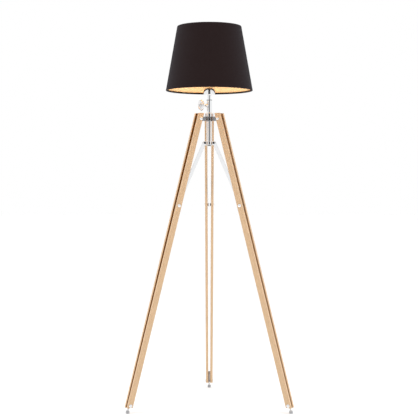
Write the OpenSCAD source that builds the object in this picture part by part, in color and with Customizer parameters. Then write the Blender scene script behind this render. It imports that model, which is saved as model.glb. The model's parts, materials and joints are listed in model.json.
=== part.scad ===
// Tripod floor lamp: three folding legs of paired wooden slats, a chromed centre
// column that slides up and down in a clamped tube, and a tapered drum shade.
// The origin is on the floor, on the column's axis, and leg 1 stands at the back.

/* [Stance] */
// Height of the leg pivots above the floor
pivot_z = 1152; // [900:1:1400]
// Lean of each leg from the vertical, in degrees
leg_lean = 15.35; // [12:0.05:18]
// Distance from the column's axis to each leg's pivot
pivot_r = 47; // [44:0.5:60]

/* [Slats] */
// Width of a slat, across the leg and away from the column
slat_w = 22.4; // [20:0.2:30]
// Thickness of a slat
slat_t = 10.4; // [8:0.2:14]
// Radius of a slat's long edges
slat_edge_r = 1.2; // [0.5:0.1:2]
// Gap between the two slats at the leg's pivot
head_gap = 17; // [16:0.2:22]
// Gap between the two slats at their lower ends
foot_gap = 8; // [7:0.2:12]
// Height of the slats' upper ends above the leg's pivot
slat_over = 22; // [16:1:30]
// Height of the slats' lower ends above the floor
slat_floor_gap = 22; // [16:1:40]
// Distance that the slats' centre line lies outside the leg's pivot
slat_offset = 4.3; // [0:0.1:6]

/* [Fastenings] */
// Radius of the pivot bolts and the cross bolts
bolt_r = 3; // [2.5:0.1:3.6]
// Radius of the foot bolts, which pass through the pegs
foot_bolt_r = 2.2; // [1.8:0.1:2.6]
// Radius of the bolts' domed heads and of the cap nuts
dome_r = 7.4; // [6:0.1:9]
// Height of the domed heads
dome_h = 4.8; // [3:0.1:6]
// Across flats of the hexagon socket in a bolt head
socket_af = 4; // [3:0.1:5]
// Depth of the hexagon socket
socket_depth = 2.4; // [1:0.1:3]

/* [Feet] */
// Length of the steel peg in each foot
peg_l = 70; // [50:1:90]
// Height of the foot bolt above the slats' lower ends
foot_bolt_up = 7; // [6:0.5:12]
// Radius of the rubber foot at the floor
pad_r = 7; // [6:0.5:12]
// Height of the rubber foot
pad_h = 11; // [7:0.5:12]

/* [Spreader] */
// Distance along a leg from its pivot to its cross bolt
cross_drop = 361.4; // [300:0.1:420]
// Length of a brace between its two pins
brace_l = 279; // [260:0.5:300]
// Width of a brace
brace_w = 14.5; // [12:0.5:18]
// Thickness of a brace
brace_t = 6; // [4:0.2:7]
// Distance from the column's axis to a brace's upper pin
brace_r = 24; // [23.5:0.5:30]
// Height of the sliding collar
collar_h = 14; // [12:0.5:20]
// Wall of the sliding collar, outside its liner
collar_wall = 3.4; // [2.5:0.1:3.6]
// Thickness of each ear on the collar
ear_t = 4; // [3:0.2:5]
// Radius of the pins in the collar's ears
ear_pin_r = 2.5; // [2:0.1:3]
// Slack of a brace round its cross bolt, which takes up the fold's travel
eye_play = 0.9; // [0.8:0.05:1.5]

/* [Head] */
// Radius of the tripod head
head_r = 18.6; // [16:0.2:24]
// Height of the tripod head's lower casting, which carries the lugs
casting_h = 16; // [14:0.5:22]
// Height of the bright cap over the casting
cap_h = 16; // [10:0.5:24]
// Thickness of the lug between a leg's two slats
lug_t = 15; // [12:0.2:15.6]
// Radius of a lug's round end
lug_r = 8.6; // [7:0.2:9]

/* [Column] */
// Radius of the outer tube
tube_r = 11; // [9.5:0.1:13.2]
// Wall of the outer tube
tube_wall = 1.2; // [1:0.1:2]
// Height of the outer tube above the leg pivots
tube_over = 75; // [60:1:110]
// Radius of the sliding pole
pole_r = 8; // [7:0.1:8.4]
// Wall of the sliding pole
pole_wall = 1; // [0.8:0.1:1.6]
// Length of pole that shows above the tube at its rest height
pole_shows = 21; // [18:1:40]
// Length of pole inside the tube at its rest height
pole_inside = 139; // [100:1:145]

/* [Clamp] */
// Direction that the clamp knob faces, in degrees from the right-hand side
clamp_az = 210; // [180:1:240]
// Distance of the clamp screw below the tube's top
clamp_drop = 21; // [19:0.5:30]
// Distance from the column's axis to the middle of the knob's rim
knob_reach = 38; // [34:0.5:50]
// Outer radius of the knob
knob_r = 22; // [16:0.5:26]
// Radius of the knob's rounded rim section
rim_r = 3.5; // [2.5:0.1:5]

/* [Shade] */
// Diameter of the shade's lower edge
shade_low_d = 350; // [300:1:450]
// Diameter of the shade's upper edge
shade_top_d = 258; // [200:1:300]
// Height of the shade
shade_h = 258; // [220:1:340]
// Height of the shade's lower edge above the bottom of the lampholder cup
shade_over_cup = 17; // [10:1:30]
// Thickness of the shade's fabric
fabric_t = 1; // [0.6:0.1:2]
// Thickness of the shade's stiff gold lining
lining_t = 0.8; // [0.5:0.1:1.5]
// Radius of the steel wire rings in the shade
wire_r = 1.6; // [1.2:0.1:2.5]
// Width of the fabric that is turned in over each wire ring
roll_w = 6.5; // [5:0.5:12]
// Number of arms that carry the shade
arms = 3; // [3:1:4]

/* [Lampholder] */
// Radius of the lampholder cup at its lower end
cup_r = 22.5; // [20:0.5:26]
// Height of the lampholder cup
cup_h = 50; // [44:1:52]
// Taper of the cup's wall, in degrees
cup_taper = 3; // [0:0.5:6]
// Radius of the bulb's widest part
bulb_r = 30; // [24:0.5:32]

/* [Hidden] */
$fn = 96;
LEGS = [1, 2, 3];
LEG_PARTS = [
    "left_slat", "right_slat", "bolts", "cap_nuts", "washers", "spacers", "foot_peg", "foot_pad"
];

// Clearances
run_gap = 0.05;
side_gap = 0.3;
seat_gap = 0.03;
cut = 1;
through = 60;
far = 3000;

// Directions of the legs, seen from above
function leg_az(n) = 90 + 120 * (n - 1);
foot_span = (pivot_z - slat_floor_gap) / cos(leg_lean);
head_span = slat_over / cos(leg_lean) + slat_w;
converge = atan((head_gap - foot_gap) / 2 / foot_span);
function half_gap(drop) = (head_gap - (head_gap - foot_gap) * drop / foot_span) / 2;
function outer_face(drop) = half_gap(drop) + slat_t / cos(converge) + seat_gap;
foot_bolt_drop = foot_span - foot_bolt_up / cos(leg_lean);
foot_drop = pivot_z / cos(leg_lean) + slat_offset * tan(leg_lean);
// Each bolt's distance down the leg, its distance outwards and its radius
bolt_places = [
    [0, 0, bolt_r], [cross_drop, slat_offset, bolt_r], [foot_bolt_drop, slat_offset, foot_bolt_r]
];
dome_sphere_r = (dome_r * dome_r + dome_h * dome_h) / (2 * dome_h);
hex_point = 1 / cos(30);
washer_r = 8;
spacer_r = 6;

// Feet: the rubber foot stands upright round the end of the slanting peg
peg_r = foot_gap / 2 - run_gap;
pad_bevel = 1;
peg_end = pad_h / 2 + pad_bevel;
pad_out = pivot_r + slat_offset / cos(leg_lean) + (pivot_z - pad_h / 2) * tan(leg_lean);

// Fold geometry: the collar sits where the brace's length puts it
cross_r = pivot_r + cross_drop * sin(leg_lean) + slat_offset * cos(leg_lean);
cross_z = pivot_z - cross_drop * cos(leg_lean) + slat_offset * sin(leg_lean);
brace_lean = asin((cross_r - brace_r) / brace_l);
collar_z = cross_z + brace_l * cos(brace_lean);

// Column
tube_inner_r = tube_r - tube_wall;
tube_top = pivot_z + tube_over;
stop_gap = 0.2;
tube_low = collar_z - collar_h / 2 - stop_gap;
clamp_z = tube_top - clamp_drop;
cup_z = tube_top + pole_shows;
pole_low = tube_top - pole_inside;
liner_t = 1.4;
collar_bore_r = tube_r + run_gap + liner_t;
collar_r = collar_bore_r + collar_wall;
ear_inner = brace_t / 2 + side_gap;
ear_r = ear_pin_r + 3.6;
pin_head_r = ear_pin_r + 2;
pin_head_h = 2.6;
screw_r = 3;
bush_l = 14;
bush_lip = 2;
bush_lip_r = tube_r + 0.5;
foot_bush_h = 14;
foot_bush_lap = 10;
grommet_r = 4.5;
grommet_lip = 2;
cord_r = 3;
plug_h = 12;
plug_lip = 2.5;
plug_lip_r = tube_r + plug_lip;
casting_low = pivot_z - casting_h / 2;
cap_z = casting_low + casting_h;
cap_round = 2.5;

// Two grub screws hold the casting on the tube, between the lugs
grub_r = 2;
grub_sink = 1;
grub_l = head_r - tube_r - grub_sink;
grub_hex_r = 1;
grub_az = [30, 150];

// Clamp
boss_r = 6.5;
boss_l = 8;
boss_reach = tube_r + boss_l;
knob_hub_r = 8.5;
knob_hub_h = 10;
knob_web_h = 3;
knob_centre_r = 5.5;
knob_centre_h = 2;

// Lampholder and shade
bulb_cap_r = 13;
bulb_cap_h = 25;
bulb_tip_r = 4;
bulb_tip_h = 3;
bulb_seat = 5;
nipple_r = 5;
nipple_wall = 1;
nipple_over = 6;
insert_h = 16;
cup_wall = 1.2;
cup_edge_r = 3;
locknut_af = 17;
locknut_h = 4;
holder_lift = 1;
holder_z = cup_z + cup_wall + locknut_h + holder_lift;
holder_r = 19.5;
holder_foot_r = 15.5;
holder_floor = 2;
holder_skirt_h = 48;
holder_lip_r = 23;
holder_lip_h = 3;
thread_r = 18;
thread_h = 20;
socket_r = 13.6;
socket_step = 2;
socket_floor = holder_skirt_h + holder_lip_h + thread_h - bulb_cap_h - bulb_seat;
seat_h = 8;
contact_r = 3.5;
contact_over = 2;
lip_z = holder_z + holder_skirt_h;
carrier_z = lip_z + holder_lip_h;
carrier_ring_r = 25;
carrier_h = 2;
ring_nut_r = 23;
ring_nut_h = 9;
shade_z = cup_z + shade_over_cup;
shade_low_r = shade_low_d / 2;
shade_top_r = shade_top_d / 2;
shade_slope = (shade_low_r - shade_top_r) / shade_h;
slant = sqrt(1 + shade_slope * shade_slope);
function shade_r(up) = shade_low_r - shade_slope * up;
lining_out = fabric_t * slant;
wire_out = lining_out + lining_t * slant;
wire_edge_gap = 1.2;
low_wire_up = wire_r + wire_edge_gap;
top_wire_up = shade_h - wire_r - wire_edge_gap;
function wire_ring_r(up) = shade_r(up) - wire_out - (wire_r + seat_gap) * slant;
roll_t = 0.7;
bulb_lift = 3;
bulb_z = holder_z + socket_floor + bulb_lift;
bulb_neck_r = 12.2;
bulb_neck_h = 50;
bulb_flare = 30;
bulb_wall = 0.9;

// Arms of the shade carrier, from its ring down to the lower wire ring
arm_r = 1.6;
arm_sink = 0.8;
arm_end_r = wire_ring_r(low_wire_up) - wire_r;
arm_start_r = carrier_ring_r - arm_sink;
arm_drop = carrier_z + carrier_h / 2 - shade_z - low_wire_up;
arm_run = arm_end_r - arm_start_r;
arm_l = sqrt(arm_drop * arm_drop + arm_run * arm_run);

// ---------- Placing ----------

// Leg space: the pivot is the origin, -Z runs down the leg, +X faces away from the column.
module in_leg(n) {
    rotate([0, 0, leg_az(n)])
        translate([pivot_r, 0, pivot_z])
            rotate([0, -leg_lean, 0])
                children();
}

// A cylinder along Y, centred at x and z, from y0 to y1
module cross_cylinder(r, x, z, y0, y1) {
    translate([x, y1, z])
        rotate([90, 0, 0])
            cylinder(r = r, h = y1 - y0);
}

// Everything between two heights above the floor
module level_slab(z0, z1) {
    translate([0, 0, (z0 + z1) / 2])
        cube([far, far, z1 - z0], center = true);
}

module ring(r_in, r_out, h, z = 0) {
    translate([0, 0, z])
        difference() {
            cylinder(r = r_out, h = h);
            translate([0, 0, -cut])
                cylinder(r = r_in, h = h + 2 * cut);
        }
}

// Clamp space: +Z runs out along the clamp screw from the column's axis
module in_clamp() {
    rotate([0, 0, clamp_az])
        translate([0, 0, clamp_z])
            rotate([0, 90, 0])
                children();
}

// ---------- Tripod head and tube ----------

module lug(n) {
    rotate([0, 0, leg_az(n)])
        translate([0, 0, pivot_z]) {
            translate([0, -lug_t / 2, -lug_r])
                cube([pivot_r, lug_t, 2 * lug_r]);
            cross_cylinder(lug_r, pivot_r, 0, -lug_t / 2, lug_t / 2);
        }
}

module tripod_head() {
    color("dimgray")
        difference() {
            union() {
                translate([0, 0, casting_low])
                    cylinder(r = head_r, h = casting_h);
                for (n = LEGS) lug(n);
            }
            translate([0, 0, casting_low - far / 2])
                cylinder(r = tube_r, h = far);
            translate([0, 0, cap_z])
                cylinder(r = head_r + cut, h = far);
            for (n = LEGS)
                rotate([0, 0, leg_az(n)])
                    cross_cylinder(bolt_r + run_gap, pivot_r, pivot_z, -lug_t, lug_t);
            head_screw_holes();
        }
}

module head_cap() {
    color("silver")
        translate([0, 0, cap_z])
            rotate_extrude()
                union() {
                    translate([tube_r, 0])
                        square([head_r - tube_r, cap_h - cap_round]);
                    translate([tube_r, 0])
                        square([head_r - cap_round - tube_r, cap_h]);
                    translate([head_r - cap_round, cap_h - cap_round])
                        circle(r = cap_round, $fn = 48);
                }
}

module head_screw_holes() {
    for (az = grub_az)
        rotate([0, 0, az])
            translate([tube_r - cut, 0, pivot_z])
                rotate([0, 90, 0])
                    cylinder(r = grub_r, h = head_r);
}

module head_screws() {
    color("black")
        for (az = grub_az)
            rotate([0, 0, az])
                translate([tube_r, 0, pivot_z])
                    rotate([0, 90, 0])
                        difference() {
                            cylinder(r = grub_r, h = grub_l);
                            translate([0, 0, grub_l / 2])
                                cylinder(r = grub_hex_r, h = grub_l, $fn = 6);
                        }
}

module outer_tube() {
    color("silver")
        difference() {
            ring(tube_inner_r, tube_r, tube_top - tube_low, tube_low);
            in_clamp()
                cylinder(r = screw_r + run_gap, h = far);
        }
}

module guide_bush() {
    color("dimgray") {
        difference() {
            union() {
                translate([0, 0, tube_top - bush_l])
                    cylinder(r = tube_inner_r, h = bush_l);
                translate([0, 0, tube_top])
                    cylinder(r = bush_lip_r, h = bush_lip);
            }
            translate([0, 0, tube_top - bush_l - cut])
                cylinder(r = pole_r + run_gap, h = bush_l + bush_lip + 2 * cut);
        }
    }
}

module clamp_boss() {
    color("silver")
        difference() {
            in_clamp()
                cylinder(r = boss_r, h = boss_reach);
            translate([0, 0, clamp_z - far / 2])
                cylinder(r = tube_r, h = far);
            in_clamp()
                cylinder(r = screw_r + run_gap, h = far);
        }
}

module end_plug() {
    color("dimgray")
        difference() {
            union() {
                translate([0, 0, tube_low - plug_lip])
                    cylinder(r = plug_lip_r, h = plug_lip);
                translate([0, 0, tube_low])
                    cylinder(r = tube_inner_r, h = plug_h);
            }
            translate([0, 0, tube_low - plug_lip - cut])
                cylinder(r = grommet_r, h = far);
        }
}

module cable_grommet() {
    color("black")
        difference() {
            union() {
                translate([0, 0, tube_low - plug_lip])
                    cylinder(r = grommet_r, h = plug_lip + plug_h);
                translate([0, 0, tube_low - plug_lip - grommet_lip])
                    cylinder(r = grommet_r + grommet_lip, h = grommet_lip);
            }
            translate([0, 0, tube_low - plug_lip - grommet_lip - cut])
                cylinder(r = cord_r, h = far);
        }
}

// ---------- Spreader ----------

module ears(n) {
    root_r = collar_bore_r + cut;
    for (side = [-1, 1])
        rotate([0, 0, leg_az(n)])
            translate([0, side * (ear_inner + ear_t / 2), collar_z]) {
                translate([root_r, -ear_t / 2, -ear_r])
                    cube([brace_r - root_r, ear_t, 2 * ear_r]);
                cross_cylinder(ear_r, brace_r, 0, -ear_t / 2, ear_t / 2);
            }
}

module spreader_collar() {
    color("silver")
        difference() {
            union() {
                translate([0, 0, collar_z - collar_h / 2])
                    cylinder(r = collar_r, h = collar_h);
                for (n = LEGS) ears(n);
            }
            translate([0, 0, collar_z - far / 2])
                cylinder(r = collar_bore_r, h = far);
            for (n = LEGS)
                rotate([0, 0, leg_az(n)])
                    cross_cylinder(ear_pin_r, brace_r, collar_z, -through, through);
            for (n = LEGS)
                rotate([0, 0, leg_az(n)])
                    cross_cylinder(brace_w / 2 + side_gap, brace_r, collar_z, -ear_inner, ear_inner);
        }
}

module collar_liner() {
    color("dimgray")
        ring(tube_r + run_gap, collar_bore_r, collar_h, collar_z - collar_h / 2);
}

module collar_pins() {
    face = ear_inner + ear_t;
    color("dimgray")
        for (n = LEGS)
            rotate([0, 0, leg_az(n)]) {
                cross_cylinder(ear_pin_r, brace_r, collar_z, -face, face);
                cross_cylinder(pin_head_r, brace_r, collar_z, face, face + pin_head_h);
                cross_cylinder(pin_head_r, brace_r, collar_z, -face - pin_head_h, -face);
            }
}

module brace(n) {
    eye_r = bolt_r + eye_play;
    color("silver")
        rotate([0, 0, leg_az(n)])
            translate([brace_r, 0, collar_z])
                rotate([0, -brace_lean, 0])
                    difference() {
                        union() {
                            translate([-brace_w / 2, -brace_t / 2, -brace_l])
                                cube([brace_w, brace_t, brace_l]);
                            cross_cylinder(brace_w / 2, 0, 0, -brace_t / 2, brace_t / 2);
                            cross_cylinder(brace_w / 2, 0, -brace_l, -brace_t / 2, brace_t / 2);
                        }
                        cross_cylinder(ear_pin_r + run_gap, 0, 0, -brace_t, brace_t);
                        cross_cylinder(eye_r, 0, -brace_l, -brace_t, brace_t);
                    }
}

// ---------- Legs ----------

module slat_section() {
    inset_w = slat_w - 2 * slat_edge_r;
    inset_t = slat_t - 2 * slat_edge_r;
    union() {
        square([slat_w, inset_t], center = true);
        square([inset_w, slat_t], center = true);
        for (x = [-1, 1])
            for (y = [-1, 1])
                translate([x * inset_w / 2, y * inset_t / 2])
                    circle(r = slat_edge_r, $fn = 32);
    }
}

module slat(n, side) {
    color("burlywood")
        difference() {
            intersection() {
                in_leg(n)
                    translate([slat_offset, side * (head_gap + slat_t) / 2, 0])
                        rotate([-side * converge, 0, 0])
                            translate([0, 0, -foot_span - slat_w])
                                linear_extrude(foot_span + slat_w + head_span)
                                    slat_section();
                level_slab(slat_floor_gap, pivot_z + slat_over);
            }
            in_leg(n)
                for (place = bolt_places)
                    cross_cylinder(place[2], place[1], -place[0], -through, through);
        }
}

module dome(side, face, x, z) {
    intersection() {
        translate([x, side * (face + dome_h - dome_sphere_r), z])
            sphere(r = dome_sphere_r);
        cross_cylinder(dome_r, x, z, min(side * face, side * (face + dome_h)),
            max(side * face, side * (face + dome_h)));
    }
}

module bolts(n) {
    color("silver")
        in_leg(n)
            for (place = bolt_places) {
                face = outer_face(place[0]);
                difference() {
                    union() {
                        dome(1, face, place[1], -place[0]);
                        cross_cylinder(place[2], place[1], -place[0], -face, face);
                    }
                    translate([place[1], face + dome_h + cut, -place[0]])
                        rotate([90, 0, 0])
                            cylinder(r = socket_af / 2 * hex_point, h = socket_depth + cut, $fn = 6);
                }
            }
}

module cap_nuts(n) {
    color("silver")
        in_leg(n)
            for (place = bolt_places)
                dome(-1, outer_face(place[0]), place[1], -place[0]);
}

// Thin nylon washers between the tripod head's lug and the slats
module washers(n) {
    near = lug_t / 2 + side_gap / 2;
    face = half_gap(washer_r) - seat_gap;
    color("white")
        in_leg(n)
            for (side = [-1, 1])
                difference() {
                    cross_cylinder(washer_r, 0, 0, min(side * near, side * face),
                        max(side * near, side * face));
                    cross_cylinder(bolt_r + run_gap, 0, 0, -through, through);
                }
}

// Tube spacers each side of the brace, on the leg's cross bolt
module spacers(n) {
    near = brace_t / 2 + side_gap;
    face = half_gap(cross_drop + spacer_r) - seat_gap;
    color("dimgray")
        in_leg(n)
            for (side = [-1, 1])
                difference() {
                    cross_cylinder(spacer_r, slat_offset, -cross_drop,
                        min(side * near, side * face), max(side * near, side * face));
                    cross_cylinder(bolt_r, slat_offset, -cross_drop, -through, through);
                }
}

module foot_peg(n) {
    color("silver")
        in_leg(n)
            difference() {
                translate([slat_offset, 0, -foot_drop + peg_end])
                    cylinder(r = peg_r, h = peg_l);
                cross_cylinder(foot_bolt_r, slat_offset, -foot_bolt_drop, -through, through);
            }
}

// An upright rubber foot with a slanting blind bore for the peg
module foot_pad(n) {
    color("gray")
        difference() {
            rotate([0, 0, leg_az(n)])
                translate([pad_out, 0, 0]) {
                    cylinder(r = pad_r, h = pad_h - pad_bevel);
                    translate([0, 0, pad_h - pad_bevel])
                        cylinder(r1 = pad_r, r2 = pad_r - pad_bevel, h = pad_bevel);
                }
            in_leg(n)
                translate([slat_offset, 0, -foot_drop + peg_end])
                    cylinder(r = peg_r, h = peg_l);
        }
}

module leg_part(n, part) {
    if (part == "left_slat") slat(n, 1);
    if (part == "right_slat") slat(n, -1);
    if (part == "bolts") bolts(n);
    if (part == "cap_nuts") cap_nuts(n);
    if (part == "washers") washers(n);
    if (part == "spacers") spacers(n);
    if (part == "foot_peg") foot_peg(n);
    if (part == "foot_pad") foot_pad(n);
}

// ---------- Clamp knob ----------

module clamp_screw() {
    tip = pole_r + 2 * run_gap;
    color("silver")
        in_clamp()
            translate([0, 0, tip])
                cylinder(r = screw_r, h = knob_reach - tip);
}

module clamp_knob() {
    color("silver")
        in_clamp()
            translate([0, 0, knob_reach])
                rotate_extrude()
                    difference() {
                        union() {
                            translate([knob_r - rim_r, 0])
                                circle(r = rim_r, $fn = 48);
                            translate([0, -knob_web_h / 2])
                                square([knob_r - rim_r, knob_web_h]);
                            translate([0, -knob_hub_h / 2])
                                square([knob_hub_r, knob_hub_h]);
                        }
                        translate([0, -knob_hub_h])
                            square([screw_r, knob_hub_h]);
                        translate([0, knob_hub_h / 2 - knob_centre_h])
                            square([knob_centre_r, knob_centre_h + cut]);
                        translate([-knob_r, -knob_r])
                            square([knob_r, 2 * knob_r]);
                    }
}

module knob_centre() {
    color("black")
        in_clamp()
            translate([0, 0, knob_reach + knob_hub_h / 2 - knob_centre_h])
                cylinder(r = knob_centre_r, h = knob_centre_h);
}

// ---------- Sliding pole and lampholder ----------

module pole_foot_bush() {
    color("dimgray")
        translate([0, 0, pole_low - foot_bush_h + foot_bush_lap])
            difference() {
                cylinder(r = tube_inner_r - run_gap, h = foot_bush_h);
                translate([0, 0, foot_bush_h - foot_bush_lap - run_gap])
                    cylinder(r = pole_r + run_gap, h = foot_bush_h);
                translate([0, 0, -cut])
                    cylinder(r = pole_r - pole_wall, h = foot_bush_h);
            }
}

module inner_pole() {
    color("silver")
        ring(pole_r - pole_wall, pole_r, cup_z - pole_low, pole_low);
}

module pole_insert() {
    color("goldenrod")
        ring(nipple_r, pole_r - pole_wall, insert_h, cup_z - insert_h);
}

module holder_nipple() {
    color("goldenrod")
        ring(nipple_r - nipple_wall, nipple_r, holder_z + nipple_over - cup_z + insert_h, cup_z - insert_h);
}

// A bead round the cup's base, then a wall that widens upwards
module holder_cup() {
    top_r = cup_r + cup_h * tan(cup_taper);
    color("silver")
        translate([0, 0, cup_z])
            rotate_extrude()
                difference() {
                    union() {
                        polygon([
                            [0, 0], [cup_r - cup_edge_r, 0], [cup_r, cup_edge_r],
                            [top_r, cup_h], [0, cup_h]
                        ]);
                        translate([cup_r - cup_edge_r, cup_edge_r])
                            circle(r = cup_edge_r, $fn = 48);
                    }
                    polygon([
                        [0, cup_wall], [cup_r - cup_edge_r, cup_wall], [cup_r - cup_wall, cup_edge_r],
                        [top_r - cup_wall, cup_h + cut], [0, cup_h + cut]
                    ]);
                    translate([0, -cut])
                        square([nipple_r, cup_h]);
                    translate([-cup_r, -cut])
                        square([cup_r, cup_h + 2 * cut]);
                }
}

module holder_locknut() {
    color("goldenrod")
        translate([0, 0, cup_z + cup_wall])
            difference() {
                cylinder(r = locknut_af / 2 * hex_point, h = locknut_h, $fn = 6);
                translate([0, 0, -cut])
                    cylinder(r = nipple_r, h = far);
            }
}

module lampholder() {
    color("black")
        translate([0, 0, holder_z])
            difference() {
                union() {
                    cylinder(r1 = holder_foot_r, r2 = holder_r, h = holder_skirt_h / 3);
                    translate([0, 0, holder_skirt_h / 3])
                        cylinder(r = holder_r, h = holder_skirt_h * 2 / 3);
                    translate([0, 0, holder_skirt_h])
                        cylinder(r = holder_lip_r, h = holder_lip_h);
                    cylinder(r = thread_r, h = holder_skirt_h + holder_lip_h + thread_h);
                }
                translate([0, 0, socket_floor])
                    cylinder(r = socket_r, h = far);
                translate([0, 0, holder_floor])
                    cylinder(r = socket_r - socket_step, h = far);
                translate([0, 0, -cut])
                    cylinder(r = nipple_r, h = far);
            }
}

// Ceramic seat that carries the brass centre contact
module lampholder_contact() {
    color("goldenrod")
        translate([0, 0, holder_z + socket_floor - seat_h]) {
            cylinder(r = socket_r - socket_step, h = seat_h);
            cylinder(r = contact_r, h = seat_h + contact_over);
        }
}

module bulb_cap() {
    color("lightgray")
        translate([0, 0, bulb_z])
            difference() {
                union() {
                    translate([0, 0, bulb_tip_h])
                        cylinder(r = bulb_cap_r, h = bulb_cap_h - bulb_tip_h);
                    cylinder(r1 = bulb_tip_r, r2 = bulb_cap_r, h = bulb_tip_h);
                }
                translate([0, 0, bulb_seat])
                    cylinder(r = bulb_neck_r, h = far);
            }
}

// Thin glass: a round bulb that runs down into a narrow neck
module glass_outline(wall) {
    centre_up = bulb_cap_h + bulb_neck_h;
    neck = bulb_neck_r - wall;
    globe = bulb_r - wall;
    union() {
        translate([0, centre_up])
            circle(r = globe);
        translate([0, bulb_seat])
            square([neck, centre_up - bulb_seat]);
        polygon([
            [0, bulb_cap_h], [neck, bulb_cap_h],
            [globe * cos(bulb_flare), centre_up - globe * sin(bulb_flare)], [0, centre_up]
        ]);
    }
}

module bulb_glass() {
    color("white")
        translate([0, 0, bulb_z])
            rotate_extrude()
                difference() {
                    glass_outline(0);
                    translate([0, -cut])
                        glass_outline(bulb_wall);
                    translate([-far, -far])
                        square([far, 2 * far]);
                    square([bulb_neck_r - bulb_wall, bulb_cap_h]);
                }
}

// ---------- Shade ----------

// A flat ring over the lampholder's thread, with round arms down to the lower wire ring
module shade_carrier() {
    color("white")
        difference() {
            union() {
                translate([0, 0, carrier_z])
                    cylinder(r = carrier_ring_r, h = carrier_h);
                for (k = [0 : arms - 1])
                    rotate([0, 0, 90 + 360 / arms * k])
                        translate([arm_start_r, 0, carrier_z + carrier_h / 2])
                            rotate([0, 90 + atan(arm_drop / arm_run), 0])
                                cylinder(r = arm_r, h = arm_l);
            }
            translate([0, 0, carrier_z - far / 2])
                cylinder(r = thread_r + run_gap, h = far);
        }
}

module shade_ring_nut() {
    color("black")
        ring(thread_r, ring_nut_r, ring_nut_h, carrier_z + carrier_h);
}

module wire_ring(up) {
    rotate_extrude()
        translate([wire_ring_r(up), shade_z + up])
            circle(r = wire_r, $fn = 32);
}

module shade_wires() {
    color("silver") {
        wire_ring(low_wire_up);
        wire_ring(top_wire_up);
    }
}

// A cone-shaped wall between two depths inside the shade's outer face
module shade_wall(depth0, depth1) {
    translate([0, 0, shade_z])
        rotate_extrude()
            polygon([
                [shade_low_r - depth1, 0], [shade_low_r - depth0, 0],
                [shade_top_r - depth0, shade_h], [shade_top_r - depth1, shade_h]
            ]);
}

module shade_skin() {
    color([0.1, 0.09, 0.09])
        shade_wall(0, lining_out);
}

module shade_lining() {
    color("gold")
        shade_wall(lining_out, wire_out);
}

// Fabric turned in over a wire ring: a band on the wire's inner side, closed at the shade's edge
module edge_roll(up, edge_up) {
    inner = wire_ring_r(up) - wire_r - seat_gap - roll_t;
    lip_up = (edge_up < up) ? edge_up : edge_up - roll_t;
    band_up = (edge_up < up) ? edge_up : edge_up - roll_w;
    edge_r = min(shade_r(edge_up), shade_r(lip_up + roll_t)) - wire_out - seat_gap;
    translate([0, 0, shade_z])
        rotate_extrude()
            union() {
                translate([inner, band_up])
                    square([roll_t, roll_w]);
                translate([inner, lip_up])
                    square([edge_r - inner, roll_t]);
            }
}

module shade_edge_rolls() {
    color([0.1, 0.09, 0.09])
        difference() {
            union() {
                edge_roll(low_wire_up, 0);
                edge_roll(top_wire_up, shade_h);
            }
            for (k = [0 : arms - 1])
                rotate([0, 0, 90 + 360 / arms * k])
                    translate([arm_start_r, 0, carrier_z + carrier_h / 2])
                        rotate([0, 90 + atan(arm_drop / arm_run), 0])
                            cylinder(r = arm_r + run_gap, h = arm_l + 2 * wire_r);
        }
}

tripod_head();
head_cap();
head_screws();
outer_tube();
guide_bush();
clamp_boss();
end_plug();
cable_grommet();
spreader_collar();
collar_liner();
collar_pins();
for (n = LEGS)
    brace(n);
for (n = LEGS)
    for (part = LEG_PARTS)
        leg_part(n, part);
clamp_screw();
clamp_knob();
knob_centre();
pole_foot_bush();
inner_pole();
pole_insert();
holder_nipple();
holder_cup();
holder_locknut();
lampholder();
lampholder_contact();
shade_carrier();
shade_ring_nut();
shade_wires();
shade_lining();
shade_skin();
shade_edge_rolls();
bulb_cap();
bulb_glass();
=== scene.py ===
import json
import math

import bpy
from mathutils import Matrix, Vector


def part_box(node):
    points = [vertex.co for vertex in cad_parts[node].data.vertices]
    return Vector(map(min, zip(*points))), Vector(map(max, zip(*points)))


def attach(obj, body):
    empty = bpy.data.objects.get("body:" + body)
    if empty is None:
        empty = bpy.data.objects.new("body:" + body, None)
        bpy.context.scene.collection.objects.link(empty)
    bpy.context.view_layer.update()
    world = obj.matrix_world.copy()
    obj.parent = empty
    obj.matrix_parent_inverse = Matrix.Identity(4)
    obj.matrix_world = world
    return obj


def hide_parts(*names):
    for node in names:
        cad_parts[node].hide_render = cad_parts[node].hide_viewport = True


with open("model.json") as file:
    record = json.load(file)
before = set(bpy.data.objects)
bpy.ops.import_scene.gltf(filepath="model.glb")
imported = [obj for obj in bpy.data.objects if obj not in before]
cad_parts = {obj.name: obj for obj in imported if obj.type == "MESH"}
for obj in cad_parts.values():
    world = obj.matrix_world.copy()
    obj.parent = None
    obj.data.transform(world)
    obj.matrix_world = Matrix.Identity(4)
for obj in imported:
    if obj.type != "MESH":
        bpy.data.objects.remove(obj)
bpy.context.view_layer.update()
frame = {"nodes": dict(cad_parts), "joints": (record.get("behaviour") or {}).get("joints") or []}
joints = {joint["name"]: joint for joint in frame["joints"]}
nodes = frame["nodes"]
LEGS = (1, 2, 3)

# ---------------------------------------------------------------- tripod head
# A plated casting with three lugs, which take the tops of the legs. It is cast, machined
# and plated, and two grub screws hold it on the column's outer tube. Its dark grey is painted
# shade: it stands for the shading and dark reflections on the lower band of the head.

TUBE_R = 0.011
HEAD_R = 0.0186
LUG_R = 0.0086
LUG_THICK = 0.015
LUG_LENGTH = 0.040
LUG_ROOT = 0.0145
LUG_OVERHANG = 0.0006
PIVOT = Vector(joints["leg_1_fold"]["pos_m"])
PIVOT_R = PIVOT.xy.length
GRUB_ANGLES = (30, 150)
GRUB_R = 0.002
GRUB_FLOOR = 0.0135
GRUB_MOUTH = 0.022
OUTWARDS = Matrix.Rotation(math.pi / 2, 4, "Y")
MERGE_WITHIN = 0.000002


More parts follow.
